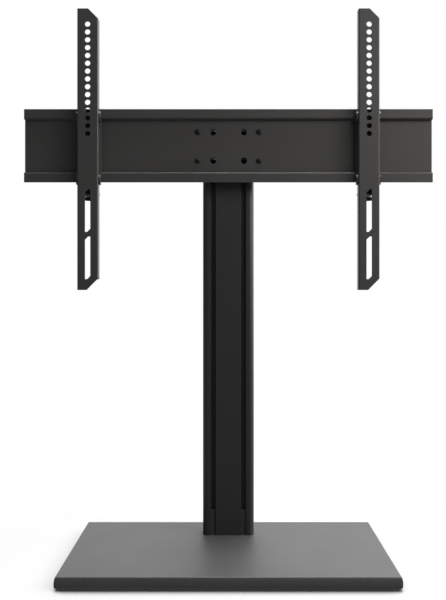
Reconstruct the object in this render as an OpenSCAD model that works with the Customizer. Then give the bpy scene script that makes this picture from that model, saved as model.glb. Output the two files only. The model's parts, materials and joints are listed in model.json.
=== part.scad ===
// Table-top television stand with a height-adjustable hook-on mount.
// Origin: centre of the base on the floor. +Z up, the screen side faces -Y.

/* [Base] */
// Width of the base board
base_w = 494; // [400:2:700]
// Depth of the base board
base_d = 285; // [240:5:400]
// Thickness of the base board
base_t = 18; // [16:1:24]
// Radius that rounds the rim under towards the floor
base_under_r = 6; // [4:0.5:8]
// Radius of the shallow bulge of the rim
base_bulge_r = 35; // [25:1:60]
// Radius of the rim's top edge
base_top_r = 2; // [0.5:0.5:3]
// Radius of the board's corners in plan
base_corner_r = 3; // [1:0.5:8]
// Width of the steel plate let into the underside
plate_w = 260; // [160:10:320]
// Depth of the steel plate let into the underside
plate_d = 90; // [70:5:100]
// Thickness of the steel plate
plate_t = 5; // [4:0.5:6]
// How far the steel plate lies above the board's underside
plate_recess = 1; // [0.5:0.5:2]
// Diameter of a rubber foot
foot_d = 22; // [12:1:40]
// Thickness of a rubber foot
foot_t = 1.5; // [1:0.5:6]
// Distance from the board's edges to a foot's centre
foot_inset = 34; // [26:1:60]

/* [Column] */
// Width of the column
column_w = 84.5; // [78:0.5:100]
// Depth of the column
column_d = 40; // [40:1:60]
// Length of the column
column_len = 690; // [450:10:1000]
// Radius of the column's corners
column_r = 8; // [4:0.5:8]
// Wall thickness of the extrusion
column_wall = 2.2; // [1.8:0.1:2.6]
// Distance from the board's rear edge to the column's back
column_setback = 42; // [40:1:110]
// Distance from the middle of the column to a T-slot
slot_x = 25; // [24:0.5:26]
// Width of a T-slot's mouth
slot_mouth = 8.2; // [7:0.1:9]
// Thickness of the lips beside a T-slot's mouth
slot_lip = 4; // [3:0.5:5]
// Width of a T-slot behind its lips
slot_wide = 16.4; // [14:0.2:17]
// Depth of a T-slot behind its lips
slot_deep = 6.5; // [6:0.5:7]
// Width of the cable channel in the column's back
channel_w = 32; // [26:1:33]
// Depth of the cable channel
channel_d = 13.5; // [11:0.5:14]
// Overhang of the lips that hold the cable cover
channel_lip = 3; // [2:0.5:4]
// Length of column left open for cables below the cable cover
cable_gap_low = 70; // [30:5:120]
// Length of column left open for cables above the cable cover
cable_gap_high = 90; // [30:5:120]
// Height of the fillers that close the foot of the T-slots
plug_len = 41.5; // [20:0.5:80]
// How far the fillers lie behind the column's front
plug_recess = 2; // [0.5:0.5:3]
// Thickness of the column's top cap
cap_t = 4; // [2:0.5:8]

/* [Crossbar] */
// Length of the crossbar
bar_len = 662; // [520:2:900]
// Height of the crossbar
bar_h = 118.5; // [110:0.5:150]
// Sheet thickness of the crossbar
bar_t = 2; // [1.5:0.5:2.5]
// Height of each forward rail of the crossbar
rail_h = 16.5; // [14:0.5:18]
// How far the rails stand in front of the crossbar's web
rail_step = 7; // [7:0.5:12]
// Inner radius of the crossbar's folds
bar_fold_r = 0.8; // [0.5:0.1:1.6]
// Distance from the column's top end down to the crossbar's middle
bar_below_top = 50.5; // [46:0.5:120]

/* [Slide bracket] */
// Height of the slide bracket
slider_h = 98; // [76:1:104]
// Depth of the slide bracket from column to crossbar
slider_depth = 20.5; // [18:0.5:40]
// Sheet thickness of the slide bracket
slider_t = 3; // [2:0.5:4]
// Half the outer width of the slide bracket's box
slider_half = 37; // [36:0.5:38]
// Half the width over the slide bracket's ears
slider_ear = 62; // [58:1:80]
// Height between the two rows of bolts
bolt_rise = 46.5; // [36:0.5:52]
// Distance from the middle to an ear screw
ear_screw_x = 50; // [47:0.5:53]
// Diameter of the holes through which the clamp bolts are reached
access_d = 10.6; // [10.2:0.1:14]

/* [Arms] */
// Distance between the two arms
arm_spacing = 450; // [200:10:490]
// Length of an arm
arm_len = 450; // [450:10:600]
// Width of an arm
arm_w = 33.5; // [32:0.5:40]
// Depth of an arm's channel
arm_depth = 15; // [14:0.5:30]
// Sheet thickness of an arm
arm_t = 1.5; // [1.5:0.5:2.5]
// How far an arm rises above the crossbar
arm_rise = 157; // [120:1:200]
// Size of the corner cut at an arm's top
arm_cut_top = 16; // [6:0.5:18]
// Size of the corner cut at an arm's foot
arm_cut_low = 18.5; // [6:0.5:20]
// Diameter of the round holes in an arm
arm_hole_d = 8.5; // [6:0.5:10]
// Distance between two round holes
arm_hole_pitch = 12.5; // [12:0.5:13]
// Number of round holes
arm_holes = 15; // [5:1:18]
// Distance from an arm's top to its first hole
arm_first_hole = 25; // [20:0.5:30]
// Width of the slots in an arm
arm_slot_w = 8.5; // [6:0.5:10]
// Length of a slot
arm_slot_len = 68; // [50:0.5:70]
// Distance between the two slots
arm_slot_pitch = 75.5; // [74:0.5:78]
// Distance from an arm's top to its first slot
arm_first_slot = 289; // [280:0.5:290]
// Size of the corner cut at a slot's ends
arm_slot_cut = 5; // [2:0.5:5.5]

/* [Hook brackets] */
// Sheet thickness of a hook bracket
hook_t = 2.5; // [2:0.5:3]
// How far a hook reaches down behind the top rail
hook_drop = 10; // [6:0.5:11]
// Width of one of the two hooks
hook_w = 9; // [6:0.5:9.2]
// Distance that the bracket's tail hangs below the crossbar
tail_drop = 20; // [16:0.5:30]
// Length of the foot folded back at the tail's end
tail_foot = 18; // [16:0.5:24]
// Height of an ear that holds the arm
hook_ear_h = 16; // [12:0.5:20]
// Diameter of a rivet
rivet_d = 4.8; // [4:0.2:6]
// Diameter of the lock screw
lock_d = 5; // [4:0.5:6]
// Diameter of the lock screw's head
lock_head_d = 17; // [12:0.5:20]
// Height of the lock screw's head
lock_head_h = 4.5; // [4:0.5:8]
// Diameter of the lock nut
lock_nut_d = 17; // [12:0.5:18]
// Height of the lock nut
lock_nut_h = 4.5; // [3:0.5:5]
// How far the lock screw reaches up behind the bottom rail
lock_reach = 5; // [3:0.5:8]

/* [Hidden] */
$fn = 48;

// Overrun of every cut past the face it leaves
over = 1;
// Gap between two moving sheets
slide_gap = 0.3;
// Gap between the slide bracket and the column
column_gap = 0.2;
// Gap round a pressed or screwed piece
fit_gap = 0.1;
// Gap round a piece that is laid in a pocket
pocket_gap = 0.4;

// How far outside the rim the rounding of the board's corners starts
base_corner_out = 0.2;

// Heights above the floor
board_z = foot_t;
board_top_z = board_z + base_t;
column_top_z = board_top_z + column_len;
bar_z = column_top_z - bar_below_top;
bar_top_z = bar_z + bar_h / 2;
bar_low_z = bar_z - bar_h / 2;
arm_top_z = bar_top_z + arm_rise;
arm_low_z = arm_top_z - arm_len;

// Depths, from the board's rear edge forwards
column_back_y = base_d / 2 - column_setback;
column_y = column_back_y - column_d / 2;
column_front_y = column_back_y - column_d;
slider_back_y = column_front_y - column_gap;
bar_back_y = slider_back_y - slider_depth;
rail_y = bar_back_y - bar_t - rail_step;
hook_back_y = rail_y - slide_gap;
hook_front_y = hook_back_y - hook_t;
arm_y = hook_front_y - arm_depth;
arm_x = arm_spacing / 2;

// Column screws: size, bite and places measured from the column's front
column_screw_d = 8;
column_screw_head_d = 16;
column_screw_bite = 26;
column_screw_key = 5;
column_screw_key_deep = 3;
boss_wall = 2.4;
boss_d = column_screw_d + 2 * boss_wall;
front_boss = [
    (column_screw_head_d + boss_wall) / 2,
    column_wall + (boss_d - boss_wall) / 2
];
rear_boss = [
    column_w / 2 - column_wall - (boss_d - boss_wall) / 2,
    column_d - column_wall - (boss_d - boss_wall) / 2
];

// Screws of the steel plate: size and how far in from its edges they sit
plate_screw_d = 4;
plate_screw_head_d = 8;
plate_screw_len = 13;
plate_screw_slot = 1.2;
plate_screw_inset = 14;
plate_corner_r = 6;

// Clamp bolts and their washers
clamp_d = 6;
clamp_head_d = 10;
clamp_head_h = 6;
clamp_key = 5;
clamp_key_deep = 3;
clamp_len = 14;
washer_d = 12.5;
washer_t = 1.6;
slot_nut_end = 13;
slot_nut_t = 4.5;
slot_nut_gap = 0.3;

// Ear screws and their nuts
ear_screw_d = 5;
ear_screw_head_d = 10;
ear_screw_head_h = 2.8;
ear_screw_key = 3;
ear_screw_key_deep = 1.6;
ear_screw_len = 12;
ear_nut_key = 8;
ear_nut_h = 4;
slider_fold_r = 2;
slider_corner_r = 5;

// Folds and corners of arm and hook bracket
arm_fold_r = 0.3;
hook_fold_r = 0.5;
tail_fold_r = 1.5;
hook_lift = 0.5;
hook_gap_w = 2 * (arm_w / 2 - arm_t - slide_gap - hook_w);
hook_ear_reach = 12;
hook_side_gap = 0.15;
hook_low_drop = 3.5;
rivet_head_d = 7.6;
rivet_head_h = 1.3;
rivet_tail_d = 6.4;
rivet_tail_h = 1.2;
rivet_top_drop = 14;
rivet_low_rise = 3;
lock_clear = 0.3;
lock_seat_gap = 0.1;
lock_key = 4;
lock_key_deep = 3;
lock_chamfer = 0.6;
lock_y = rail_y + bar_t + 2 * lock_clear + lock_d / 2;

// Cable cover
cover_t = 1.5;
cover_leg_t = 0.8;
cover_leg_h = 3.6;
cover_barb = 1.6;

// Cap legs
cap_leg = 10;
cap_leg_t = 4;

// Finishes
powder = [0.17, 0.17, 0.175];
anodised = [0.13, 0.13, 0.135];
lacquer = [0.27, 0.27, 0.275];
plastic = [0.08, 0.08, 0.085];
zinc = [0.62, 0.63, 0.64];
blackened = [0.1, 0.1, 0.11];
rubber = [0.06, 0.06, 0.06];

// The quarter of a disc or a ring that lies between +x and +y
module quarter(outer, inner = 0) {
    intersection() {
        difference() {
            circle(outer);
            if (inner > 0) circle(inner);
        }
        square(outer);
    }
}

// A rectangle with round corners, centred
module rounded_rect(w, d, r) {
    square([w - 2 * r, d], center = true);
    square([w, d - 2 * r], center = true);
    for (turn = [0 : 90 : 270]) {
        size = turn % 180 == 0 ? [w, d] : [d, w];
        rotate(turn) translate(size / 2 - [r, r]) quarter(r);
    }
}

// Section of a folded sheet. It starts at the origin along +x with the sheet on its left,
// and each fold turns it left (1) or right (-1) round an inner radius.
module fold(thick, legs, turns, radii, i = 0) {
    square([legs[i], thick]);
    if (i < len(turns)) translate([legs[i], 0]) {
        r = radii[i];
        out = r + thick;
        if (turns[i] > 0) {
            translate([0, out]) rotate(-90) quarter(out, r);
            translate([out, out]) rotate(90) fold(thick, legs, turns, radii, i + 1);
        } else {
            translate([0, -r]) quarter(out, r);
            translate([r, -r]) rotate(-90) fold(thick, legs, turns, radii, i + 1);
        }
    }
}

// A section drawn in depth and height, drawn out sideways about the middle
module along_x(length) {
    rotate([90, 0, 90]) linear_extrude(length, center = true) children();
}

// A front view, drawn out forwards from y = 0
module forwards(depth) {
    rotate([90, 0, 0]) linear_extrude(depth) children();
}

// A round bar or hole along Y, from y = 0 back to y = length
module rod_y(d, length) {
    rotate([-90, 0, 0]) cylinder(d = d, h = length);
}

// A hexagon measured across its flats
module hexagon(key) {
    circle(d = key / cos(30), $fn = 6);
}

// Socket screw standing on its shank, with the head's seat at z = 0
module socket_screw(d, length, head_d, head_h, key, key_deep) {
    difference() {
        union() {
            cylinder(d = head_d, h = head_h);
            translate([0, 0, -length]) cylinder(d = d, h = length);
        }
        translate([0, 0, head_h - key_deep]) linear_extrude(key_deep + over) hexagon(key);
    }
}

// Round-headed socket screw, with the head's seat at z = 0
module button_screw(d, length, head_d, head_h, key, key_deep) {
    dome_r = (pow(head_d / 2, 2) + pow(head_h, 2)) / (2 * head_h);
    difference() {
        union() {
            rotate_extrude() intersection() {
                translate([0, head_h - dome_r]) circle(dome_r);
                square([head_d / 2, head_h]);
            }
            translate([0, 0, -length]) cylinder(d = d, h = length);
        }
        translate([0, 0, head_h - key_deep]) linear_extrude(key_deep + over) hexagon(key);
    }
}

// Countersunk screw pointing up, with the head's flat face at z = 0
module flush_screw(d, length, head_d) {
    head_h = (head_d - d) / 2;
    cylinder(d1 = head_d, d2 = d, h = head_h);
    cylinder(d = d, h = length);
}

// Hole for a countersunk screw through a plate of thickness t
module flush_hole(d, head_d, t) {
    head_h = (head_d - d) / 2;
    translate([0, 0, -over]) cylinder(d = d + 2 * fit_gap, h = t + 2 * over);
    cylinder(d1 = head_d + 2 * fit_gap, d2 = d + 2 * fit_gap, h = head_h);
    translate([0, 0, -over]) cylinder(d = head_d + 2 * fit_gap, h = over);
}

// Section through the board's rim: round below, a shallow bulge above, a small top edge
module rim_section(span) {
    bulge_x = span / 2 - base_bulge_r;
    edge_z = base_t - base_top_r;
    edge_x = bulge_x + sqrt(pow(base_bulge_r - base_top_r, 2) - pow(edge_z - base_under_r, 2));
    meet_z = base_under_r + (edge_z - base_under_r) * base_bulge_r / (base_bulge_r - base_top_r);
    under_x = span / 2 - base_under_r;
    translate([-under_x, 0]) square([2 * under_x, base_under_r]);
    translate([-edge_x, meet_z]) square([2 * edge_x, base_t - meet_z]);
    translate([-bulge_x, base_under_r]) square([2 * bulge_x, meet_z - base_under_r]);
    for (side = [0, 1]) mirror([side, 0]) {
        translate([under_x, base_under_r]) rotate(-90) quarter(base_under_r);
        intersection() {
            translate([bulge_x, base_under_r]) circle(base_bulge_r);
            translate([bulge_x, base_under_r]) square([base_bulge_r, meet_z - base_under_r]);
        }
        intersection() {
            translate([edge_x, edge_z]) circle(base_top_r);
            translate([edge_x, meet_z]) square([base_top_r, base_t - meet_z]);
        }
    }
}

// Places of the four column screws
module at_column_screws() {
    for (side = [-1, 1], spot = [front_boss, rear_boss])
        translate([side * spot[0], column_front_y + spot[1], 0]) children();
}

// Places of the six plate screws
module at_plate_screws() {
    for (column = [-1, 0, 1], row = [-1, 1])
        translate([
            column * (plate_w / 2 - plate_screw_inset),
            column_y + row * (plate_d / 2 - plate_screw_inset),
            0
        ]) children();
}

// Thickness of board left above the steel plate
board_over_plate = base_t - plate_t - plate_recess;
plate_z = board_z + plate_recess;

module base_board() {
    color(lacquer) difference() {
        translate([0, 0, board_z]) intersection() {
            along_x(base_w) rim_section(base_d);
            rotate(90) along_x(base_d) rim_section(base_w);
            linear_extrude(base_t) rounded_rect(base_w + 2 * base_corner_out,
                base_d + 2 * base_corner_out, base_corner_r + base_corner_out);
        }
        translate([0, column_y, board_z - over])
            linear_extrude(plate_recess + plate_t + over)
                rounded_rect(plate_w + 2 * pocket_gap, plate_d + 2 * pocket_gap,
                    plate_corner_r + pocket_gap);
        at_column_screws()
            translate([0, 0, board_z])
                cylinder(d = column_screw_d + 2 * pocket_gap, h = base_t + over);
        at_plate_screws()
            translate([0, 0, board_z])
                cylinder(d = plate_screw_d + 2 * fit_gap,
                    h = plate_recess + plate_screw_len + fit_gap);
    }
}

module base_underplate() {
    color(powder) translate([0, 0, plate_z]) difference() {
        translate([0, column_y, 0])
            linear_extrude(plate_t) rounded_rect(plate_w, plate_d, plate_corner_r);
        at_column_screws() flush_hole(column_screw_d, column_screw_head_d, plate_t);
        at_plate_screws() flush_hole(plate_screw_d, plate_screw_head_d, plate_t);
    }
}

module column_screws() {
    length = plate_t + board_over_plate + column_screw_bite;
    color(blackened) at_column_screws() translate([0, 0, plate_z]) difference() {
        flush_screw(column_screw_d, length, column_screw_head_d);
        translate([0, 0, -over])
            linear_extrude(column_screw_key_deep + over) hexagon(column_screw_key);
    }
}

module underplate_screws() {
    color(zinc) at_plate_screws() translate([0, 0, plate_z]) difference() {
        flush_screw(plate_screw_d, plate_screw_len, plate_screw_head_d);
        for (turn = [0, 90]) rotate(turn)
            cube([plate_screw_head_d / 2, plate_screw_slot, 2 * plate_screw_slot], center = true);
    }
}

module foot(side, end) {
    color(rubber)
        translate([side * (base_w / 2 - foot_inset), end * (base_d / 2 - foot_inset), 0])
            cylinder(d = foot_d, h = foot_t);
}

module foot_front_left() foot(-1, -1);
module foot_front_right() foot(1, -1);
module foot_rear_left() foot(-1, 1);
module foot_rear_right() foot(1, 1);

// Section of one T-slot, with its mouth at y = 0 and its depth along +y
module t_slot(mouth, wide, lip, deep) {
    bevel = deep / 3;
    translate([-mouth / 2, -over]) square([mouth, lip + 2 * over]);
    translate([0, lip]) polygon([
        [-wide / 2, 0], [wide / 2, 0],
        [wide / 2, deep - bevel], [wide / 2 - bevel, deep],
        [-wide / 2 + bevel, deep], [-wide / 2, deep - bevel]
    ]);
}

// Walls of the column's hollows, measured from its middle and its front
slot_inner_x = slot_x - slot_wide / 2 - column_wall;
side_hollow_x = channel_w / 2 + column_wall;
side_hollow_y = slot_lip + slot_deep + column_wall;
channel_y = column_d - channel_d - column_wall;

// The three closed hollows of the column, shrunk all round by inset
module column_hollows(inset = 0) {
    wall = column_wall + inset;
    intersection() {
        union() {
            translate([-slot_inner_x + inset, wall])
                square([2 * (slot_inner_x - inset), channel_y - 2 * wall]);
            for (side = [0, 1]) mirror([side, 0])
                translate([side_hollow_x + inset, side_hollow_y + inset])
                    square([column_w / 2 - wall - side_hollow_x, column_d - wall - side_hollow_y]);
        }
        translate([0, column_d / 2])
            rounded_rect(column_w - 2 * wall, column_d - 2 * wall, column_r - column_wall);
    }
}

module column_section() {
    difference() {
        union() {
            difference() {
                translate([0, column_d / 2]) rounded_rect(column_w, column_d, column_r);
                column_hollows();
            }
            for (side = [-1, 1], spot = [front_boss, rear_boss])
                translate([side * spot[0], spot[1]]) circle(d = boss_d);
        }
        for (side = [-1, 1]) {
            translate([side * slot_x, 0]) t_slot(slot_mouth, slot_wide, slot_lip, slot_deep);
            for (spot = [front_boss, rear_boss])
                translate([side * spot[0], spot[1]]) circle(d = column_screw_d + 2 * fit_gap);
        }
        translate([-channel_w / 2, channel_y]) square([channel_w, channel_d]);
        translate([-channel_w / 2 + channel_lip, channel_y])
            square([channel_w - 2 * channel_lip, column_d - channel_y + over]);
    }
}

module column() {
    color(anodised) translate([0, column_front_y, board_top_z])
        linear_extrude(column_len) column_section();
}

module column_cap() {
    color(plastic) translate([0, column_front_y, column_top_z]) {
        translate([0, column_d / 2])
            linear_extrude(cap_t) rounded_rect(column_w, column_d, column_r);
        translate([0, 0, -cap_leg]) linear_extrude(cap_leg) {
            intersection() {
                column_hollows(pocket_gap);
                translate([0, (front_boss[1] + boss_d / 2 + channel_y) / 2])
                    square([column_w, cap_leg_t], center = true);
            }
        }
    }
}

module slot_plug(side) {
    color(plastic) translate([side * slot_x, column_front_y, board_top_z])
        linear_extrude(plug_len) intersection() {
            t_slot(slot_mouth - 2 * fit_gap, slot_wide - 2 * fit_gap, slot_lip + fit_gap,
                slot_deep - 2 * fit_gap);
            translate([-slot_wide / 2, plug_recess]) square([slot_wide, column_d]);
        }
}

module slot_plug_left() slot_plug(-1);
module slot_plug_right() slot_plug(1);

module cable_cover() {
    mouth = channel_w - 2 * channel_lip - 2 * fit_gap;
    lip_t = column_wall;
    face_y = column_d - fit_gap - cover_t;
    barb_y = column_d - lip_t - fit_gap;
    leg_x = mouth / 2 - fit_gap;
    side = [
        [leg_x - cover_leg_t, face_y], [leg_x - cover_leg_t, barb_y - cover_leg_h],
        [leg_x, barb_y - cover_leg_h], [leg_x + cover_barb, barb_y], [leg_x, barb_y],
        [leg_x, face_y], [mouth / 2, face_y], [mouth / 2, face_y + cover_t]
    ];
    color(plastic) translate([0, column_front_y, board_top_z + cable_gap_low])
        linear_extrude(column_len - cable_gap_low - cable_gap_high)
            polygon(concat(side, [for (i = [len(side) - 1 : -1 : 0]) [-side[i][0], side[i][1]]]));
}

// Places of a pattern of four on the crossbar, x to each side of the middle
module at_bar_bolts(x) {
    for (side = [-1, 1], row = [-1, 1])
        translate([side * x, 0, bar_z + row * bolt_rise / 2]) children();
}

module crossbar() {
    out = bar_fold_r + bar_t;
    lip = rail_h - out;
    shelf = rail_step - bar_fold_r - out;
    web = bar_h - 2 * rail_h - 2 * bar_fold_r;
    color(powder) difference() {
        translate([0, rail_y, bar_low_z]) along_x(bar_len)
            mirror([1, -1]) fold(bar_t, [lip, shelf, web, shelf, lip],
                [1, -1, -1, 1], [bar_fold_r, bar_fold_r, bar_fold_r, bar_fold_r]);
        translate([0, rail_y - over, 0]) {
            at_bar_bolts(slot_x) rod_y(access_d, rail_step + bar_t + 2 * over);
            at_bar_bolts(ear_screw_x)
                rod_y(ear_screw_d + 2 * fit_gap, rail_step + bar_t + 2 * over);
        }
    }
}

module slide_bracket() {
    out = slider_fold_r + slider_t;
    ear = slider_ear - slider_half - slider_fold_r;
    wall = slider_depth - 2 * out;
    web = 2 * (slider_half - out);
    color(powder) difference() {
        intersection() {
            translate([slider_ear, bar_back_y, bar_z - slider_h / 2])
                linear_extrude(slider_h) mirror([1, 0])
                    fold(slider_t, [ear, wall, web, wall, ear], [1, -1, -1, 1],
                        [slider_fold_r, slider_fold_r, slider_fold_r, slider_fold_r]);
            translate([0, slider_back_y + over, bar_z]) forwards(slider_depth + 2 * over)
                rounded_rect(2 * slider_ear, slider_h, slider_corner_r);
        }
        translate([0, bar_back_y - over, 0]) {
            at_bar_bolts(slot_x) rod_y(clamp_d + 2 * fit_gap, slider_depth + 2 * over);
            at_bar_bolts(ear_screw_x) rod_y(ear_screw_d + 2 * fit_gap, slider_t + 2 * over);
        }
    }
}

module ear_screws() {
    color(blackened) at_bar_bolts(ear_screw_x)
        translate([0, bar_back_y - bar_t, 0]) rotate([90, 0, 0])
            button_screw(ear_screw_d, ear_screw_len, ear_screw_head_d, ear_screw_head_h,
                ear_screw_key, ear_screw_key_deep);
}

module ear_nuts() {
    color(zinc) at_bar_bolts(ear_screw_x)
        translate([0, bar_back_y + slider_t + ear_nut_h, 0]) forwards(ear_nut_h) difference() {
            hexagon(ear_nut_key);
            circle(d = ear_screw_d + 2 * fit_gap);
        }
}

// Front of the slide bracket's web, where the clamp washers lie
clamp_seat_y = slider_back_y - slider_t;

module clamp_washers() {
    color(zinc) at_bar_bolts(slot_x)
        translate([0, clamp_seat_y, 0]) forwards(washer_t) difference() {
            circle(d = washer_d);
            circle(d = clamp_d + 2 * fit_gap);
        }
}

module clamp_bolts() {
    color(blackened) at_bar_bolts(slot_x)
        translate([0, clamp_seat_y - washer_t, 0]) rotate([90, 0, 0])
            socket_screw(clamp_d, clamp_len, clamp_head_d, clamp_head_h, clamp_key,
                clamp_key_deep);
}

module slot_nut(side) {
    neck = slot_mouth - 2 * slot_nut_gap;
    wide = slot_wide - 2 * slot_nut_gap;
    bevel = slot_nut_t / 3;
    length = bolt_rise + 2 * slot_nut_end;
    color(zinc) difference() {
        translate([side * slot_x, column_front_y, bar_z - length / 2])
            linear_extrude(length) {
                translate([-neck / 2, slot_nut_gap])
                    square([neck, slot_lip + column_gap + bevel - slot_nut_gap]);
                translate([0, slot_lip + column_gap]) polygon([
                    [-wide / 2, 0], [wide / 2, 0],
                    [wide / 2, slot_nut_t - bevel], [wide / 2 - bevel, slot_nut_t],
                    [-wide / 2 + bevel, slot_nut_t], [-wide / 2, slot_nut_t - bevel]
                ]);
            }
        for (row = [-1, 1])
            translate([side * slot_x, column_front_y - over, bar_z + row * bolt_rise / 2])
                rod_y(clamp_d + 2 * fit_gap, slot_lip + slot_deep + over);
    }
}

module slot_nut_left() slot_nut(-1);
module slot_nut_right() slot_nut(1);

// One arm's slot: a long slit with its upper left and its lower right corner cut
module arm_slot() {
    edge = arm_slot_w / 2;
    polygon([
        [-edge, -arm_slot_cut], [arm_slot_cut - edge, 0], [edge, 0],
        [edge, arm_slot_cut - arm_slot_len], [edge - arm_slot_cut, -arm_slot_len],
        [-edge, -arm_slot_len]
    ]);
}

// Heights of the rivets that hold an arm in its bracket
rivet_z = [bar_top_z - rivet_top_drop, bar_low_z + rivet_low_rise];
rivet_y = hook_front_y - hook_ear_reach / 2;

module vesa_arm() {
    out = arm_fold_r + arm_t;
    color(powder) difference() {
        translate([-arm_w / 2, hook_front_y, arm_low_z])
            linear_extrude(arm_len) rotate(-90)
                fold(arm_t, [arm_depth - out, arm_w - 2 * out, arm_depth - out], [1, 1],
                    [arm_fold_r, arm_fold_r]);
        translate([0, hook_front_y + over, 0]) forwards(arm_depth + 2 * over) {
            translate([arm_w / 2, arm_top_z]) rotate(45)
                square(arm_cut_top * sqrt(2), center = true);
            translate([arm_w / 2, arm_low_z]) rotate(45)
                square(arm_cut_low * sqrt(2), center = true);
        }
        translate([0, arm_y + arm_t + over, arm_top_z]) forwards(arm_t + 2 * over) {
            for (i = [0 : 1])
                translate([0, -arm_first_slot - i * arm_slot_pitch]) arm_slot();
        }
        for (i = [0 : arm_holes - 1])
            translate([0, arm_y - over, arm_top_z - arm_first_hole - i * arm_hole_pitch])
                rod_y(arm_hole_d, arm_t + 2 * over);
        for (z = rivet_z) translate([0, rivet_y, z]) rotate([0, 90, 0])
            cylinder(d = rivet_d + 2 * fit_gap, h = arm_w + 2 * over, center = true);
    }
}

// Half the width of the part of the bracket that lies inside the arm's channel
hook_half_in = arm_w / 2 - arm_t - slide_gap;
// Half the width over the bracket's ears
hook_half_out = arm_w / 2 + hook_side_gap + hook_t;

module hook_bracket() {
    top_in_z = bar_top_z + hook_lift;
    foot_z = bar_low_z - tail_drop + hook_t;
    over_w = bar_t + 2 * slide_gap;
    plate_low_z = bar_low_z - hook_low_drop;
    plate_h = bar_top_z - hook_lift - plate_low_z;
    legs = [
        tail_foot - hook_t - tail_fold_r, top_in_z - foot_z - tail_fold_r - hook_fold_r,
        over_w - 2 * hook_fold_r, hook_drop + hook_lift - hook_fold_r
    ];
    color(powder) difference() {
        union() {
            translate([0, hook_front_y + tail_foot, foot_z]) along_x(2 * hook_half_in)
                rotate(180) fold(hook_t, legs, [-1, -1, -1],
                    [tail_fold_r, hook_fold_r, hook_fold_r]);
            translate([0, hook_back_y, plate_low_z]) forwards(hook_t) polygon([
                [-hook_half_out + hook_low_drop, 0], [hook_half_out - hook_low_drop, 0],
                [hook_half_out, hook_low_drop], [hook_half_out, plate_h],
                [-hook_half_out, plate_h], [-hook_half_out, hook_low_drop]
            ]);
            for (z = rivet_z, side = [0, 1]) mirror([side, 0, 0])
                translate([hook_half_out - hook_t, hook_front_y, z])
                    rotate([90, 0, 90]) linear_extrude(hook_t) hook_ear();
        }
        translate([0, hook_back_y + over_w + hook_t + over, bar_top_z - hook_drop - hook_lift])
            forwards(over_w + 2 * hook_t + 2 * over)
                translate([-hook_gap_w / 2, 0])
                    square([hook_gap_w, hook_drop + 2 * hook_lift + hook_t + over]);
        for (z = rivet_z) translate([0, rivet_y, z]) rotate([0, 90, 0])
            cylinder(d = rivet_d + 2 * fit_gap, h = 2 * hook_half_out + 2 * over, center = true);
        translate([0, lock_y, foot_z - hook_t - over])
            cylinder(d = lock_d + 2 * lock_clear, h = hook_t + 2 * over);
    }
}

// Side view of an ear, drawn forwards from the plate, with its front corners cut
module hook_ear() {
    cut = hook_ear_h / 4;
    polygon([
        [0, -hook_ear_h / 2], [-hook_ear_reach + cut, -hook_ear_h / 2],
        [-hook_ear_reach, -hook_ear_h / 2 + cut], [-hook_ear_reach, hook_ear_h / 2 - cut],
        [-hook_ear_reach + cut, hook_ear_h / 2], [0, hook_ear_h / 2]
    ]);
}

module hook_rivet() {
    seat = hook_half_out;
    grip = seat - arm_w / 2 + arm_t;
    dome_r = (pow(rivet_head_d / 2, 2) + pow(rivet_head_h, 2)) / (2 * rivet_head_h);
    rotate([0, 90, 0]) {
        translate([0, 0, seat]) rotate_extrude() intersection() {
            translate([0, rivet_head_h - dome_r]) circle(dome_r);
            square([rivet_head_d / 2, rivet_head_h]);
        }
        translate([0, 0, seat - grip]) cylinder(d = rivet_d, h = grip);
        translate([0, 0, seat - grip - rivet_tail_h])
            cylinder(d = rivet_tail_d, h = rivet_tail_h);
    }
}

module hook_rivets() {
    color(blackened) for (z = rivet_z, side = [0, 1])
        mirror([side, 0, 0]) translate([0, rivet_y, z]) hook_rivet();
}

// Underside of the bracket's foot, where the lock nut sits
nut_top_z = bar_low_z - tail_drop;

// A round knob on its axis, with both rims chamfered
module knob(d, h) {
    rotate_extrude() polygon([
        [0, 0], [d / 2 - lock_chamfer, 0], [d / 2, lock_chamfer],
        [d / 2, h - lock_chamfer], [d / 2 - lock_chamfer, h], [0, h]
    ]);
}

module lock_nut() {
    color(powder) translate([0, lock_y, nut_top_z - lock_nut_h]) difference() {
        knob(lock_nut_d, lock_nut_h);
        translate([0, 0, -over])
            cylinder(d = lock_d + 2 * lock_clear, h = lock_nut_h + 2 * over);
    }
}

module lock_screw() {
    seat_z = nut_top_z - lock_nut_h - lock_seat_gap;
    color(blackened) translate([0, lock_y, seat_z]) {
        cylinder(d = lock_d, h = bar_low_z + lock_reach - seat_z);
        translate([0, 0, -lock_head_h]) difference() {
            knob(lock_head_d, lock_head_h);
            translate([0, 0, -over]) linear_extrude(lock_key_deep + over) hexagon(lock_key);
        }
    }
}

module on_left() translate([-arm_x, 0, 0]) children();
module on_right() translate([arm_x, 0, 0]) children();

module arm_left() on_left() vesa_arm();
module arm_right() on_right() vesa_arm();
module hook_bracket_left() on_left() hook_bracket();
module hook_bracket_right() on_right() hook_bracket();
module hook_rivets_left() on_left() hook_rivets();
module hook_rivets_right() on_right() hook_rivets();
module lock_nut_left() on_left() lock_nut();
module lock_nut_right() on_right() lock_nut();
module lock_screw_left() on_left() lock_screw();
module lock_screw_right() on_right() lock_screw();

base_board();
base_underplate();
underplate_screws();
column_screws();
foot_front_left();
foot_front_right();
foot_rear_left();
foot_rear_right();
column();
column_cap();
slot_plug_left();
slot_plug_right();
cable_cover();
crossbar();
slide_bracket();
ear_screws();
ear_nuts();
clamp_bolts();
clamp_washers();
slot_nut_left();
slot_nut_right();
arm_left();
arm_right();
hook_bracket_left();
hook_bracket_right();
hook_rivets_left();
hook_rivets_right();
lock_nut_left();
lock_nut_right();
lock_screw_left();
lock_screw_right();
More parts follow.
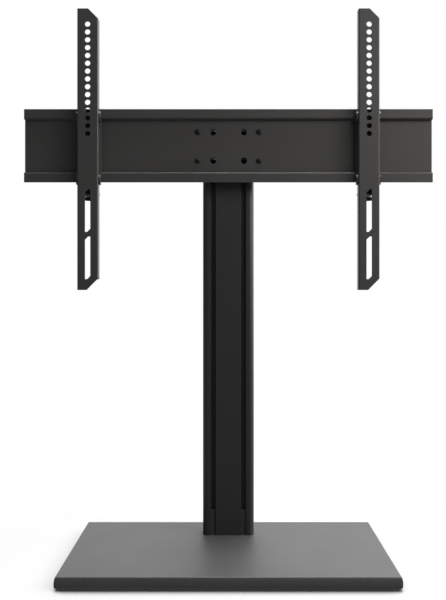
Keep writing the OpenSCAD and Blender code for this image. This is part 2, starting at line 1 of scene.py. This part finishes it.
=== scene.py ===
import bmesh
import bpy
import json
from math import cos, pi, radians, sin
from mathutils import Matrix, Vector


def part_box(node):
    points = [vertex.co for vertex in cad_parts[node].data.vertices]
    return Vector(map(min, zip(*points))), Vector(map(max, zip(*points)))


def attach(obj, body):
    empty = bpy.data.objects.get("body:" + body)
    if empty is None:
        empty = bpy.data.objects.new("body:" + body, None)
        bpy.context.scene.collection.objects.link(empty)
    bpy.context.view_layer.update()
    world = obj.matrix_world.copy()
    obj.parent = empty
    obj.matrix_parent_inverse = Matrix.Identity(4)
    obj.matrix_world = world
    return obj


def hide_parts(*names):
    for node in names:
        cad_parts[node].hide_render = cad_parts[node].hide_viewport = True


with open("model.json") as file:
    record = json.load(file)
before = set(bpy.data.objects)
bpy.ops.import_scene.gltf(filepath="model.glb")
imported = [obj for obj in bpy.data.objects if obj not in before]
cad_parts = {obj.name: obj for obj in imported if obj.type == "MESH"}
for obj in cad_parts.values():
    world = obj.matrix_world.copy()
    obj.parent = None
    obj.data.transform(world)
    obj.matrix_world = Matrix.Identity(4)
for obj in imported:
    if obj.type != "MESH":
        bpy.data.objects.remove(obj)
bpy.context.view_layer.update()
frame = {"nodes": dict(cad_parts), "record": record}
scene = bpy.context.scene
nodes = frame["nodes"]
print("frame loaded,", len(nodes), "nodes")


# camera

photo = {
    "width": 446, "height": 600,
    "focal": 825.0,                       # focal length in photo pixels
    "sensorWidth": 36.0,                  # millimetres
    "centreX": 228.4, "horizonY": 293.0,  # where the middle of the object and the horizon lie
    "distance": 1.305, "eye": 0.4205,     # metres in front of the base's centre and above the floor
}


def makeCamera(settings):
    data = bpy.data.cameras.new("camera")
    camera = bpy.data.objects.new("camera", data)
    scene.collection.objects.link(camera)
    scene.camera = camera
    data.sensor_width = settings["sensorWidth"]
    data.lens = settings["focal"] * data.sensor_width / settings["height"]
    data.shift_x = (settings["width"] / 2 - settings["centreX"]) / settings["height"]
    data.shift_y = (settings["horizonY"] - settings["height"] / 2) / settings["height"]
    camera.location = (0, -settings["distance"], settings["eye"])
    camera.rotation_euler = (pi / 2, 0, 0)


makeCamera(photo)
print("camera placed")


# small helpers for nodes; a value is a plain one or the socket that brings it

def feed(tree, socket, value):
    if isinstance(value, bpy.types.NodeSocket):
        tree.links.new(value, socket)
    else:
        socket.default_value = value


def mathNode(tree, operation, first, second=None, clamp=False):
    node = tree.nodes.new("ShaderNodeMath")
    node.operation = operation
    node.use_clamp = clamp
    feed(tree, node.inputs[0], first)
    if second is not None:
        feed(tree, node.inputs[1], second)
    return node.outputs[0]


def vectorNode(tree, operation, first, second=None):
    node = tree.nodes.new("ShaderNodeVectorMath")
    node.operation = operation
    feed(tree, node.inputs[0], first)
    if second is not None:
        feed(tree, node.inputs[1], second)
    return node


def rangeNode(tree, value, span, levels=(0.0, 1.0), smooth=False):
    node = tree.nodes.new("ShaderNodeMapRange")
    node.interpolation_type = "SMOOTHSTEP" if smooth else "LINEAR"
    node.inputs["From Min"].default_value, node.inputs["From Max"].default_value = span
    node.inputs["To Min"].default_value, node.inputs["To Max"].default_value = levels
    tree.links.new(value, node.inputs["Value"])
    return node.outputs["Result"]


def splitNode(tree, vector):
    node = tree.nodes.new("ShaderNodeSeparateXYZ")
    tree.links.new(vector, node.inputs[0])
    return node.outputs


def chooseShader(tree, factor, first, second):
    node = tree.nodes.new("ShaderNodeMixShader")
    tree.links.new(factor, node.inputs["Fac"])
    tree.links.new(first, node.inputs[1])
    tree.links.new(second, node.inputs[2])
    return node.outputs[0]


# light

studio = {
    "mattLevel": 0.055,          # what matt surfaces get from all round
    "frontRoom": (0.225, 0.0),   # what gloss shows of the room in front, from left to right
    "backRoom": (0.0, 2.95),     # the same behind the stand
    "roomTurn": (-0.85, 0.1),    # where the front of the room turns into its back
    "lamps": {
        "sideKey": {"at": (1.75, -0.95, 1.4), "size": 1.2, "watts": 35.0, "color": (1.0, 0.975, 0.94)},
        "frontKey": {"at": (1.0, -1.75, 1.4), "size": 1.2, "watts": 8.5, "color": (1.0, 0.98, 0.95)},
        "frontTop": {"at": (0.15, -0.05, 2.3), "size": 0.6, "watts": 30.0, "color": (1.0, 1.0, 1.0)},
        "backTop": {"at": (0.15, 0.6, 2.2), "size": 1.2, "watts": 26.0, "color": (1.0, 1.0, 1.0)},
    },
    "aim": (0, 0, 0.45),
}


def makeLamp(name, settings, aim):
    data = bpy.data.lights.new(name, "AREA")
    data.shape = "DISK"
    data.size = settings["size"]
    data.energy = settings["watts"]
    data.color = settings["color"]
    lamp = bpy.data.objects.new(name, data)
    scene.collection.objects.link(lamp)
    lamp.location = settings["at"]
    lamp.rotation_euler = (Vector(aim) - lamp.location).to_track_quat("-Z", "Y").to_euler()


def makeWorld(settings):
    world = bpy.data.worlds.new("studio")
    scene.world = world
    world.use_nodes = True
    tree = world.node_tree
    tree.nodes.clear()
    link = tree.links.new
    way = splitNode(tree, tree.nodes.new("ShaderNodeTexCoord").outputs["Generated"])

    # gloss sees a dim room in front of the stand and a brighter one behind it
    room = tree.nodes.new("ShaderNodeMix")
    link(rangeNode(tree, way["Y"], settings["roomTurn"], smooth=True), room.inputs["Factor"])
    link(rangeNode(tree, way["X"], (-1.0, 1.0), settings["frontRoom"]), room.inputs["A"])
    link(rangeNode(tree, way["X"], (-1.0, 1.0), settings["backRoom"]), room.inputs["B"])
    path = tree.nodes.new("ShaderNodeLightPath").outputs
    glossy = mathNode(tree, "MAXIMUM", path["Is Glossy Ray"], path["Is Transmission Ray"])

    def level(strength):
        node = tree.nodes.new("ShaderNodeBackground")
        node.inputs["Color"].default_value = (1, 1, 1, 1)
        feed(tree, node.inputs["Strength"], strength)
        return node.outputs[0]

    # matt surfaces get a low even light, and the camera sees plain white
    shown = chooseShader(tree, glossy, level(settings["mattLevel"]), level(room.outputs["Result"]))
    seen = chooseShader(tree, path["Is Camera Ray"], shown, level(1.0))
    link(seen, tree.nodes.new("ShaderNodeOutputWorld").inputs["Surface"])


makeWorld(studio)
for lampName, lampSettings in studio["lamps"].items():
    makeLamp(lampName, lampSettings, studio["aim"])
scene.view_settings.view_transform = "Standard"
print("world and lamps placed")


# floor

backdrop = {
    "size": 30.0,
    "fade": (0.36, 0.6),                                  # metres out, where it turns into white
    "seenColor": (0.30, 0.30, 0.30), "seenLift": 0.62,    # as the camera sees it
    "roughness": 0.9, "specular": 0.1,
    "glossTurn": (-0.33, 0.0),                            # as gloss sees it: darker in front of this,
    "glossLevels": (0.155, 0.53),                         # lighter from the stand on
    "bounceColor": (0.18, 0.18, 0.18),                    # what it throws back on matt surfaces
    "shadeSamples": 8,
    # the shade set below is painted into the floor's colour and glow, on top of what the lamps cast
    "contactReach": 0.06, "contactShade": 0.45,           # soft shade close to what stands on it
    "frontReach": 0.03, "frontOpen": (0.55, 0.87),        # deeper shade under the base's front edge
    "frontY": (-0.115, -0.128), "frontX": (0.248, 0.2435),
    "frontLeast": 0.075,                                  # the light that is left there
}


def makeFloorMaterial(settings):
    material = bpy.data.materials.new("studio_floor")
    material.use_nodes = True
    tree = material.node_tree
    link = tree.links.new
    place = tree.nodes.new("ShaderNodeTexCoord").outputs["Object"]
    along = splitNode(tree, place)

    def openness(reach):
        node = tree.nodes.new("ShaderNodeAmbientOcclusion")
        node.samples = settings["shadeSamples"]
        node.inputs["Distance"].default_value = reach
        return node.outputs["AO"]

    # painted shade on it: darker close to what stands on the floor, darkest under the base's front
    # edge
    contactLevels = (1 - settings["contactShade"], 1.0)
    around = rangeNode(tree, openness(settings["contactReach"]), (0.0, 1.0), contactLevels)
    inFront = mathNode(tree, "MULTIPLY", rangeNode(tree, along["Y"], settings["frontY"]),
                       rangeNode(tree, mathNode(tree, "ABSOLUTE", along["X"]), settings["frontX"]))
    frontLevels = (settings["frontLeast"], 1.0)
    left = rangeNode(tree, openness(settings["frontReach"]), settings["frontOpen"], frontLevels)
    closed = mathNode(tree, "SUBTRACT", 1.0, left)
    deep = mathNode(tree, "SUBTRACT", 1.0, mathNode(tree, "MULTIPLY", inFront, closed))
    shade = mathNode(tree, "MULTIPLY", around, deep)

    # as the camera sees it: lit near the stand, with the painted shade in its colour and in its glow;
    # white further out
    lit = tree.nodes["Principled BSDF"]
    shaded = vectorNode(tree, "SCALE", settings["seenColor"])
    link(shade, shaded.inputs["Scale"])
    link(shaded.outputs["Vector"], lit.inputs["Base Color"])
    link(shade, lit.inputs["Emission Color"])
    lit.inputs["Roughness"].default_value = settings["roughness"]
    lit.inputs["Specular IOR Level"].default_value = settings["specular"]
    lit.inputs["Emission Strength"].default_value = settings["seenLift"]
    white = tree.nodes.new("ShaderNodeEmission")
    away = vectorNode(tree, "LENGTH", place).outputs["Value"]
    fade = rangeNode(tree, away, settings["fade"], smooth=True)
    seen = chooseShader(tree, fade, lit.outputs[0], white.outputs[0])

    # as gloss and as matt surfaces see it
    mirrored = tree.nodes.new("ShaderNodeEmission")
    sheen = rangeNode(tree, along["Y"], settings["glossTurn"], settings["glossLevels"], smooth=True)
    link(sheen, mirrored.inputs["Strength"])
    bounce = tree.nodes.new("ShaderNodeBsdfDiffuse")
    bounce.inputs["Color"].default_value = (*settings["bounceColor"], 1)
    path = tree.nodes.new("ShaderNodeLightPath").outputs
    unlit = chooseShader(tree, path["Is Glossy Ray"], seen, mirrored.outputs[0])
    surface = chooseShader(tree, path["Is Diffuse Ray"], unlit, bounce.outputs[0])
    link(surface, tree.nodes["Material Output"].inputs["Surface"])
    return material


def makeFloor(settings):
    half = settings["size"] / 2
    corners = [(-half, -half, 0), (half, -half, 0), (half, half, 0), (-half, half, 0)]
    mesh = bpy.data.meshes.new("floor")
    mesh.from_pydata(corners, [], [(0, 1, 2, 3)])
    floor = bpy.data.objects.new("floor", mesh)
    scene.collection.objects.link(floor)
    mesh.materials.append(makeFloorMaterial(settings))


makeFloor(backdrop)
print("floor placed")


# shader node groups

def newGroup(name, inputs, outputs):
    group = bpy.data.node_groups.new(name, "ShaderNodeTree")
    for label, kind, value in inputs:
        socket = group.interface.new_socket(label, in_out="INPUT", socket_type=kind)
        socket.default_value = value
    for label, kind in outputs:
        group.interface.new_socket(label, in_out="OUTPUT", socket_type=kind)
    return group, group.nodes.new("NodeGroupInput"), group.nodes.new("NodeGroupOutput")


def noiseNode(tree, vector, scale, detail, rough):
    node = tree.nodes.new("ShaderNodeTexNoise")
    node.inputs["Detail"].default_value = detail
    node.inputs["Roughness"].default_value = rough
    tree.links.new(vector, node.inputs["Vector"])
    feed(tree, node.inputs["Scale"], scale)
    return node.outputs["Fac"]


grainLook = {
    "fine": {"detail": 3.0, "rough": 0.6},
    "cloud": {"detail": 4.0, "rough": 0.5},
    "fineShare": 0.6,       # how far the fine grain sets the roughness; the cloud sets the rest
    "inputs": [             # what a finish may set, and what holds where it doesn't
        ("Scale", "NodeSocketFloat", 900.0),
        ("Stretch", "NodeSocketVector", (1, 1, 1)),
        ("Cloud Scale", "NodeSocketFloat", 9.0),
        ("Rough Low", "NodeSocketFloat", 0.35),
        ("Rough High", "NodeSocketFloat", 0.5),
    ],
}


def makeGrainGroup(look):  # fine surface grain, stretched along one axis for drawn or brushed metal
    outputs = [(label, "NodeSocketFloat") for label in ("Grain", "Cloud", "Roughness")]
    group, start, end = newGroup("surface_grain", look["inputs"], outputs)
    given = start.outputs
    place = group.nodes.new("ShaderNodeTexCoord").outputs["Object"]
    drawn = vectorNode(group, "MULTIPLY", place, given["Stretch"]).outputs[0]
    fine = noiseNode(group, drawn, given["Scale"], **look["fine"])
    cloud = noiseNode(group, place, given["Cloud Scale"], **look["cloud"])
    blend = mathNode(group, "ADD", mathNode(group, "MULTIPLY", fine, look["fineShare"]),
                     mathNode(group, "MULTIPLY", cloud, 1 - look["fineShare"]))
    span = mathNode(group, "SUBTRACT", given["Rough High"], given["Rough Low"])
    rough = mathNode(group, "ADD", mathNode(group, "MULTIPLY", blend, span), given["Rough Low"])
    group.links.new(fine, end.inputs["Grain"])
    group.links.new(cloud, end.inputs["Cloud"])
    group.links.new(rough, end.inputs["Roughness"])
    return group


edgeLook = {
    "radius": 0.0006, "samples": 4,
    "gain": 8.0,                                             # how sharply the worn line stands out
    "patches": {"scale": 60.0, "detail": 4.0, "rough": 0.6},
}


def makeEdgeGroup(look):  # rounds sharp edges in the light and marks them for wear
    outputs = [("Normal", "NodeSocketVector"), ("Edge", "NodeSocketFloat")]
    group, start, end = newGroup("soft_edge", [("Wear", "NodeSocketFloat", 0.5)], outputs)
    bevel = group.nodes.new("ShaderNodeBevel")
    bevel.samples = look["samples"]
    bevel.inputs["Radius"].default_value = look["radius"]
    plain = group.nodes.new("ShaderNodeNewGeometry").outputs["Normal"]
    agree = vectorNode(group, "DOT_PRODUCT", bevel.outputs[0], plain).outputs["Value"]
    place = group.nodes.new("ShaderNodeTexCoord").outputs["Object"]
    patches = noiseNode(group, place, **look["patches"])
    patchy = mathNode(group, "MULTIPLY", patches, start.outputs["Wear"])
    turned = mathNode(group, "SUBTRACT", 1.0, agree)
    edge = mathNode(group, "MULTIPLY", turned, look["gain"], clamp=True)
    group.links.new(bevel.outputs[0], end.inputs["Normal"])
    group.links.new(mathNode(group, "MULTIPLY", edge, patchy, clamp=True), end.inputs["Edge"])
    return group


dustLook = {
    "color": (0.5, 0.49, 0.47),
    "falloff": 3.0,                                          # how fast it thins out on sloping faces
    "specks": {"scale": 240.0, "detail": 6.0, "rough": 0.7},
    "patches": {"scale": 14.0, "detail": 3.0, "rough": 0.5},
}


def makeDustGroup(look):  # a thin haze of dust on faces that look up
    inputs = [("Amount", "NodeSocketFloat", 0.1)]
    group, start, end = newGroup("settled_dust", inputs, [("Dust", "NodeSocketFloat")])
    facing = splitNode(group, group.nodes.new("ShaderNodeNewGeometry").outputs["Normal"])
    up = mathNode(group, "POWER", mathNode(group, "MAXIMUM", facing["Z"], 0.0), look["falloff"])
    place = group.nodes.new("ShaderNodeTexCoord").outputs["Object"]
    specks = noiseNode(group, place, **look["specks"])
    patches = noiseNode(group, place, **look["patches"])
    spread = mathNode(group, "MULTIPLY", specks, patches)
    amount = mathNode(group, "MULTIPLY", spread, start.outputs["Amount"])
    group.links.new(mathNode(group, "MULTIPLY", up, amount, clamp=True), end.inputs["Dust"])
    return group


grainGroup = makeGrainGroup(grainLook)
edgeGroup = makeEdgeGroup(edgeLook)
dustGroup = makeDustGroup(dustLook)
print("node groups built")


# materials

finishes = {
    "powder_coat": {
        "dark": (0.0275, 0.0265, 0.026), "light": (0.0335, 0.0325, 0.032), "bare": (0.10, 0.10, 0.10),
        "grain": {"Scale": 1100.0, "Cloud Scale": 7.0, "Rough Low": 0.40, "Rough High": 0.56},
        "bump": 0.35, "bumpDepth": 0.00012, "wear": 0.3, "dust": 0.03,
    },
    "column_coat": {
        "dark": (0.018, 0.018, 0.0185), "light": (0.023, 0.023, 0.0235), "bare": (0.08, 0.08, 0.08),
        "grain": {
            "Scale": 900.0, "Stretch": (1, 1, 0.012), "Cloud Scale": 5.0,
            "Rough Low": 0.30, "Rough High": 0.42,
        },
        "bump": 0.2, "bumpDepth": 0.00008, "wear": 0.3, "dust": 0.05,
    },
    "board_lacquer": {
        "dark": (0.0385, 0.0385, 0.039), "light": (0.0455, 0.0455, 0.046), "bare": (0.08, 0.08, 0.08),
        "grain": {"Scale": 700.0, "Cloud Scale": 4.0, "Rough Low": 0.46, "Rough High": 0.56},
        "bump": 0.12, "bumpDepth": 0.0001, "wear": 0.2, "dust": 0.10,
    },
    "black_plastic": {
        "dark": (0.016, 0.016, 0.017), "light": (0.024, 0.024, 0.025), "bare": (0.05, 0.05, 0.05),
        "grain": {"Scale": 1500.0, "Cloud Scale": 20.0, "Rough Low": 0.45, "Rough High": 0.6},
        "bump": 0.3, "bumpDepth": 0.00008, "wear": 0.2, "dust": 0.05,
    },
    "black_steel": {
        "dark": (0.008, 0.008, 0.0083), "light": (0.014, 0.014, 0.0144), "bare": (0.04, 0.04, 0.04),
        "grain": {"Scale": 1800.0, "Cloud Scale": 60.0, "Rough Low": 0.58, "Rough High": 0.72},
        "bump": 0.15, "bumpDepth": 0.00005, "wear": 0.4, "dust": 0.05, "ior": 1.3,
    },
    "zinc_steel": {
        "dark": (0.55, 0.56, 0.58), "light": (0.70, 0.71, 0.72), "bare": (0.8, 0.8, 0.8),
        "grain": {"Scale": 1400.0, "Cloud Scale": 120.0, "Rough Low": 0.32, "Rough High": 0.5},
        "bump": 0.15, "bumpDepth": 0.00005, "wear": 0.5, "dust": 0.05, "metallic": 1.0,
    },
    "foot_rubber": {
        "dark": (0.018, 0.018, 0.018), "light": (0.028, 0.028, 0.028), "bare": (0.05, 0.05, 0.05),
        "grain": {"Scale": 1200.0, "Cloud Scale": 40.0, "Rough Low": 0.7, "Rough High": 0.85},
        "bump": 0.4, "bumpDepth": 0.0001, "wear": 0.2, "dust": 0.1,
    },
}


def placeGroup(tree, group, values):
    node = tree.nodes.new("ShaderNodeGroup")
    node.node_tree = group
    for label, value in values.items():
        node.inputs[label].default_value = value
    return node.outputs


def mixColor(tree, factor, first, second):
    node = tree.nodes.new("ShaderNodeMix")
    node.data_type = "RGBA"
    tree.links.new(factor, node.inputs["Factor"])
    for socket, value in ((node.inputs[6], first), (node.inputs[7], second)):  # colours A and B
        feed(tree, socket, (*value, 1) if isinstance(value, tuple) else value)
    return node.outputs[2]


def makeFinish(name, settings):
    material = bpy.data.materials.new(name)
    material.use_nodes = True
    tree = material.node_tree
    link = tree.links.new
    shader = tree.nodes["Principled BSDF"]
    shader.inputs["Metallic"].default_value = settings.get("metallic", 0.0)
    shader.inputs["IOR"].default_value = settings.get("ior", 1.5)
    grain = placeGroup(tree, grainGroup, settings["grain"])
    edge = placeGroup(tree, edgeGroup, {"Wear": settings["wear"]})
    dust = placeGroup(tree, dustGroup, {"Amount": settings["dust"]})
    base = mixColor(tree, grain["Cloud"], settings["dark"], settings["light"])
    worn = mixColor(tree, edge["Edge"], base, settings["bare"])
    dusty = mixColor(tree, dust["Dust"], worn, dustLook["color"])
    bump = tree.nodes.new("ShaderNodeBump")
    bump.inputs["Strength"].default_value = settings["bump"]
    bump.inputs["Distance"].default_value = settings["bumpDepth"]
    link(grain["Grain"], bump.inputs["Height"])
    link(edge["Normal"], bump.inputs["Normal"])
    link(dusty, shader.inputs["Base Color"])
    link(grain["Roughness"], shader.inputs["Roughness"])
    link(bump.outputs["Normal"], shader.inputs["Normal"])
    return material


materials = {name: makeFinish(name, settings) for name, settings in finishes.items()}
for part in frame["record"]["subparts"]:
    for slot in nodes[part["node"]].material_slots:
        slot.material = materials[part["material_slot"]]
print("finishes applied")


# lock nuts and lock screws, knurled and threaded in the place of the plain solids

lockParts = {
    "teeth": 24, "toothDepth": 0.0004, "chamfer": 0.0006,
    "flatInset": 0.0006,                        # a ring inside each end face that keeps it flat
    "bore": 0.0028,                             # radius of the hole in the nut
    "headHeight": 0.0045, "shank": 0.0025,      # the screw's knob, and the radius of its shank
    "keyHalf": 0.002, "keyDepth": 0.003,        # the hexagon in the knob
    "pitch": 0.0008, "threadDepth": 0.0004, "ringsPerTurn": 5,
    "plainLength": 0.0045, "tipInset": 0.0002,  # the shank without thread, and its blunt tip
    "smoothUnder": 25,                          # degrees
}
ringPoints = 4 * lockParts["teeth"]             # two points on each tooth and two in each gap
ringAngles = [2 * pi * index / ringPoints for index in range(ringPoints)]


def plainRing(radius):
    return [radius] * ringPoints


def toothedRing(radius):
    depth = lockParts["toothDepth"]
    return [radius - depth * (0, 0, 1, 1)[index % 4] for index in range(ringPoints)]


def hexRing(half):
    return [half / cos(angle % (pi / 3) - pi / 6) for angle in ringAngles]


def threadRing(radius, depth, z):
    turns = [(z / lockParts["pitch"] - index / ringPoints) % 1 for index in range(ringPoints)]
    return [radius - depth * (1 - abs(2 * turn - 1)) for turn in turns]


def turnedPiece(name, axis, rings, closed):
    build = bmesh.new()
    loops = []
    for z, radii in rings:
        step = 2 * pi / len(radii)
        loops.append([build.verts.new((axis[0] + r * cos(i * step), axis[1] + r * sin(i * step), z))
                      for i, r in enumerate(radii)])
    pairs = list(zip(loops, loops[1:]))
    if closed:
        pairs.append((loops[-1], loops[0]))
    else:
        build.faces.new(loops[0])
        build.faces.new(loops[-1])
    for low, high in pairs:
        for i in range(len(low)):
            build.faces.new((low[i - 1], low[i], high[i], high[i - 1]))
    bmesh.ops.recalc_face_normals(build, faces=build.faces)
    mesh = bpy.data.meshes.new(name)
    build.to_mesh(mesh)
    build.free()
    mesh.shade_smooth()
    mesh.set_sharp_from_angle(angle=radians(lockParts["smoothUnder"]))
    piece = bpy.data.objects.new(name, mesh)
    scene.collection.objects.link(piece)
    return piece


def knobRings(radius, low, high):
    cut = lockParts["chamfer"]
    rim = plainRing(radius - cut)
    flat = plainRing(radius - cut - lockParts["flatInset"])
    teeth = toothedRing(radius)
    return [(low, flat), (low, rim), (low + cut, teeth),
            (high - cut, teeth), (high, rim), (high, flat)]


def roundBox(node):  # axis, radius, underside and top of a round solid
    low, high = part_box(node)
    axis = ((low[0] + high[0]) / 2, (low[1] + high[1]) / 2)
    return axis, (high[0] - low[0]) / 2, low[2], high[2]


def makeLockNut(node, body):
    axis, radius, low, high = roundBox(node)
    bore = plainRing(lockParts["bore"])
    rings = [(low, bore), *knobRings(radius, low, high), (high, bore)]
    piece = turnedPiece("knurled_" + node, axis, rings, True)
    piece.data.materials.append(materials["zinc_steel"])
    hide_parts(node)
    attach(piece, body)


def makeLockScrew(node, body):
    axis, radius, low, high = roundBox(node)
    shank, pitch, depth = lockParts["shank"], lockParts["pitch"], lockParts["threadDepth"]
    seat = low + lockParts["headHeight"]
    start = seat + lockParts["plainLength"]
    end = high - pitch / 2                                      # the last half turn meets the tip
    keyHole = hexRing(lockParts["keyHalf"])
    rings = [(low + lockParts["keyDepth"], keyHole), (low, keyHole), *knobRings(radius, low, seat)]
    rings += [(seat, plainRing(shank)), (start, plainRing(shank))]
    steps = round((end - start) / pitch * lockParts["ringsPerTurn"])
    for index in range(1, steps + 1):
        z = start + (end - start) * index / steps
        runIn = min(1.0, index / lockParts["ringsPerTurn"])     # the thread starts shallow
        rings.append((z, threadRing(shank, depth * runIn, z)))
    rings.append((high, plainRing(shank - depth - lockParts["tipInset"])))
    piece = turnedPiece("knurled_" + node, axis, rings, False)
    piece.data.materials.append(materials["black_steel"])
    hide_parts(node)
    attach(piece, body)


for side in ("left", "right"):
    makeLockNut("lock_nut_" + side, "arm_assembly_" + side)
    makeLockScrew("lock_screw_" + side, "lock_" + side)
print("lock nuts and lock screws built")
